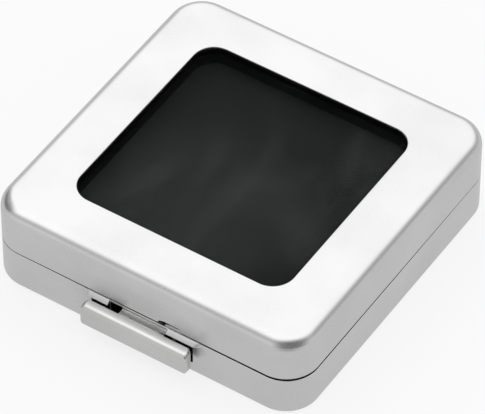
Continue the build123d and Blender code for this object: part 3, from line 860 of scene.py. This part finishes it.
def makeLatch():
    s = latchSizes
    sheet, barBack = s["sheet"], leverLow.y + s["bar"][2]
    left, right = s["tongueLeft"], s["tongueRight"]
    middle, hookTop = latchAxis.z + s["roll"], leverHigh.z - sheet / 2
    barLevel = s["barTop"] + s["backLift"] - sheet / 2
    startIn, startDown = s["tongueStart"]
    joinOut, joinUp = s["join"]
    bar = makeBar(barBack)
    # the tongue leaves the bar's back edge, dips towards its slot and rises again behind the wall
    rising = [(barBack - sheet * startIn, barLevel - startDown), (barBack + joinOut, barLevel + joinUp),
              (frontWall - s["dipAt"], barLevel - s["dip"]), (frontWall + s["riseTo"], middle)]
    path = bendPath(rising + [(latchAxis.y, middle)], s["riseRound"])
    path += rollPath((latchAxis.y, latchAxis.z), s["roll"], 90, -s["rollTurn"])[1:]
    strips = [prism("side", sheetOutline(path, sheet), "x", start, start + s["knuckle"], s["edge"])
              for start in (left, right - s["knuckle"])]
    hook = [(s["hookY"], middle), (s["hookY"], hookTop), (s["hookTip"], hookTop)]
    path = bendPath(rising + hook, s["bend"])
    strips.append(prism("hook", sheetOutline(path, sheet), "x", left + s["knuckle"] + s["sideGap"],
                        right - s["knuckle"] - s["sideGap"], s["edge"]))
    path = bendPath(rising + [(frontWall + s["riseTo"] + s["tongueEnd"], middle)], s["riseRound"])
    strips.append(prism("tongue", sheetOutline(path, sheet - s["tongueThinner"]), "x",
                        left + s["tongueInset"], right - s["tongueInset"]))
    combine(bar, strips, "UNION")
    finishPiece(bar, latchMetal, "latch", "latch_metal", "latch_lever")


makeLatch()
print("latch made")


# hinge: rolled knuckles, repeated along the pin, and a leaf for each shell

hingeSizes = {"count": 5, "gap": 0.15, "sheet": 0.5, "roll": 0.9, "rollTurn": 285, "corner": 1.0,
              "edge": 0.06}


def repeatTree():
    # copies a piece along x, at an even pitch
    tree, given = newTree("repeatAlongPin", (
        ("Knuckle", "Geometry"), ("Count", "Int"), ("Start", "Float"), ("Pitch", "Float"),
        ("Finish", "Material"),
    ), "Knuckles")
    first = addNode(tree, "ShaderNodeCombineXYZ", {0: given["Start"]}).outputs[0]
    apart = addNode(tree, "ShaderNodeCombineXYZ", {0: given["Pitch"]}).outputs[0]
    line = addNode(tree, "GeometryNodeMeshLine",
                   {"Count": given["Count"], "Start Location": first, "Offset": apart})
    copies = addNode(tree, "GeometryNodeInstanceOnPoints",
                     {"Points": line.outputs[0], "Instance": given["Knuckle"]})
    return endTree(tree, copies.outputs[0], given["Finish"])


repeatAlongPin = repeatTree()


def makeLeaf(name, node, body, side, skip):
    # side is -1 for the leaf that goes down from the axis and 1 for the one that goes up, and skip
    # is the number of knuckles before its first one
    s = hingeSizes
    low, high = nodeBox(node)
    pitch = (hingeHigh.x - hingeLow.x) / s["count"]
    leafMiddle = hingeMiddle.y - s["roll"]
    far = low.z if side < 0 else high.z
    stop = hingeMiddle.z + side * (s["roll"] + s["sheet"] / 2 + s["gap"])
    path = [Vector((leafMiddle, stop + side * s["sheet"]))]
    path += rollPath((hingeMiddle.y, hingeMiddle.z), s["roll"], 180, side * s["rollTurn"])
    knuckles = prism(name, sheetOutline(path, s["sheet"]), "x", 0, pitch - s["gap"], s["edge"])
    modifier = knuckles.modifiers.new("repeat", "NODES")
    modifier.node_group = repeatAlongPin
    setInputs(modifier, {
        "Count": (s["count"] + 1 - skip) // 2, "Start": (hingeLow.x + skip * pitch + s["gap"] / 2) * mm,
        "Pitch": 2 * pitch * mm, "Finish": platedSheet,
    })
    bakeObject(knuckles)
    outline = [(hingeLow.x, stop), (hingeLow.x, far), (hingeHigh.x, far), (hingeHigh.x, stop)]
    leaf = prism("leaf", bendPath(outline, s["corner"]), "y",
                 leafMiddle - s["sheet"] / 2, leafMiddle + s["sheet"] / 2, s["edge"])
    combine(knuckles, [leaf], "UNION")
    finishPiece(knuckles, platedSheet, body, "plated_sheet", node)


makeLeaf("hingeLeafBase", "hinge_leaf_base", "base", -1, 0)
makeLeaf("hingeLeafLid", "hinge_leaf_lid", "lid", 1, 1)
print("hinge made")


# nodes of the frame that keep their own shape

keptNodes = {
    # the latch bracket gets the sheet coloured nearly black as painted shade for the slot it is seen through
    "latch_bracket": paintedShadeSheet, "lid_catch": platedSheet, "hinge_pin": pinSteel, "latch_pin": pinSteel,
    "latch_spring": springSteel, "tray_tape": tapeClear,
}
for node, finish in keptNodes.items():
    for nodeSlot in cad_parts[node].material_slots:
        nodeSlot.link = "OBJECT"
        nodeSlot.material = finish


# floor, lamps and world: metres, and levels of light

studio = {
    "floorRadius": 4.0, "floorSides": 96, "floorColor": (0.62, 0.62, 0.62),
    "floorWhite": 0.62, "glow": 1.25, "floorWhiteInMetal": 0.8, "glowInMetal": 0.7,
    "patchPlace": (0.085, -0.105, 0), "patchRadius": 0.075, "patchDepth": 0.6,
    # the room that metal mirrors: levels by the cosine to the middle of the ceiling, and dim patches
    # as (direction, cosines at its rim and where it is full, level)
    "ceilingTowards": (-0.21, 0.345, 0.912), "frontGlow": 0.06,
    "levels": ((-0.4, 0.65), (-0.2, 0.67), (-0.03, 0.72), (0.08, 0.72), (0.18, 0.62), (0.27, 0.53),
               (0.36, 0.51), (0.44, 0.56), (0.52, 0.72), (0.6, 0.94), (0.67, 1.16), (0.74, 1.27),
               (0.83, 1.3), (0.92, 1.3)),
    "dims": (((0.687, -0.641, 0.342), (0.55, 0.99), 0.2941), ((-0.93, -0.02, 0.37), (0.83, 0.95), 0.4),
             ((0.757, 0.57, 0.32), (0.96, 0.995), 0.88)),
    "roomLight": 0.72,
}


def makeFloor():
    count, radius = studio["floorSides"], studio["floorRadius"]
    points = [(radius * math.cos(2 * math.pi * n / count), radius * math.sin(2 * math.pi * n / count), 0)
              for n in range(count)]
    floor = newObject("studioFloor", points, faces=[tuple(range(count))])
    made, tree, shader = newMaterial("floorPaper", studio["floorColor"], 0.0, 0.9, Specular_IOR_Level=0.0)
    rays = addNode(tree, "ShaderNodeLightPath").outputs
    glossy = rays["Is Glossy Ray"]
    seen = mathNode(tree, "MAXIMUM", rays["Is Camera Ray"], rays["Is Transmission Ray"])
    share = mathNode(tree, "MAXIMUM", mathNode(tree, "MULTIPLY", seen, studio["floorWhite"]),
                     mathNode(tree, "MULTIPLY", glossy, studio["floorWhiteInMetal"]))
    # metal sees a dim patch of floor in front of the right corner
    away = vectorNode(tree, "DISTANCE", objectPlace(tree), studio["patchPlace"])
    patch = spread(tree, away, studio["patchRadius"], 0.0, kind="SMOOTHSTEP")
    patch = mathNode(tree, "MULTIPLY", mathNode(tree, "MULTIPLY", patch, glossy), studio["patchDepth"])
    strength = mathNode(tree, "MULTIPLY_ADD", glossy, studio["glowInMetal"] - studio["glow"], studio["glow"])
    white = addNode(tree, "ShaderNodeEmission", {"Color": (1, 1, 1, 1), "Strength": strength})
    black = addNode(tree, "ShaderNodeEmission", {"Color": (0, 0, 0, 1), "Strength": 0.0})
    lit = addNode(tree, "ShaderNodeMixShader", {0: share, 1: shader.outputs[0], 2: white.outputs[0]})
    mixed = addNode(tree, "ShaderNodeMixShader", {0: patch, 1: lit.outputs[0], 2: black.outputs[0]})
    tree.links.new(mixed.outputs[0], tree.nodes["Material Output"].inputs[0])
    floor.data.materials.append(made)


lamps = {
    # name: (place, aimed at, size, watts)
    "overhead": ((-0.1, 0.45, 1.05), (0, 0, 0), 2.0, 2.5),
}


def makeLamps():
    for name, (place, aim, size, watts) in lamps.items():
        data = bpy.data.lights.new(name, "AREA")
        data.shape, data.size, data.energy = "DISK", size, watts
        lamp = bpy.data.objects.new(name, data)
        lamp.visible_glossy = False  # metal mirrors the world's ceiling instead
        lamp.location = place
        lamp.rotation_mode = "QUATERNION"
        lamp.rotation_quaternion = (Vector(aim) - Vector(place)).to_track_quat("-Z", "Y")
        bpy.context.collection.objects.link(lamp)


def makeWorld():
    world = bpy.data.worlds.new("studioWorld")
    bpy.context.scene.world = world
    world.use_nodes = True
    tree = world.node_tree
    tree.nodes.clear()
    heading = addNode(tree, "ShaderNodeTexCoord").outputs["Generated"]

    def cosineTo(direction):
        return vectorNode(tree, "DOT_PRODUCT", heading, Vector(direction).normalized())

    # the colour ramp runs from 0 to 1, and cosines from -1 to 1
    upwards = mathNode(tree, "MULTIPLY_ADD", cosineTo(studio["ceilingTowards"]), 0.5, 0.5)
    curve = addNode(tree, "ShaderNodeValToRGB", {0: upwards})
    ramp = curve.color_ramp
    ramp.interpolation = "LINEAR"
    for number, (cosine, level) in enumerate(studio["levels"]):
        stop = ramp.elements[number] if number < 2 else ramp.elements.new(1.0)
        stop.position, stop.color = (cosine + 1) / 2, (level, level, level, 1)
    # the ceiling is brighter towards the front
    backwards = addNode(tree, "ShaderNodeSeparateXYZ", {0: heading}).outputs[1]
    glow = mathNode(tree, "MULTIPLY_ADD", backwards, -studio["frontGlow"], 1.0)
    room = mathNode(tree, "MULTIPLY", curve.outputs[0], glow)
    for direction, edge, level in studio["dims"]:
        share = spread(tree, cosineTo(direction), *edge, kind="SMOOTHSTEP")
        room = mathNode(tree, "MULTIPLY", room, mathNode(tree, "MULTIPLY_ADD", share, level - 1, 1.0))
    rays = addNode(tree, "ShaderNodeLightPath").outputs
    seen = mathNode(tree, "MAXIMUM", rays["Is Camera Ray"], rays["Is Transmission Ray"])
    # diffuse light is plain, gloss mirrors the room, and the background is white
    plain = addNode(tree, "ShaderNodeMix", {0: rays["Is Glossy Ray"], 2: studio["roomLight"], 3: room})
    strength = addNode(tree, "ShaderNodeMix", {0: seen, 2: plain.outputs[0], 3: 1.0})
    light = addNode(tree, "ShaderNodeBackground", {"Color": (1, 1, 1, 1), "Strength": strength.outputs[0]})
    out = addNode(tree, "ShaderNodeOutputWorld")
    tree.links.new(light.outputs[0], out.inputs[0])


makeFloor()
makeLamps()
makeWorld()
bpy.context.scene.view_settings.view_transform = "Standard"
print("studio lit")
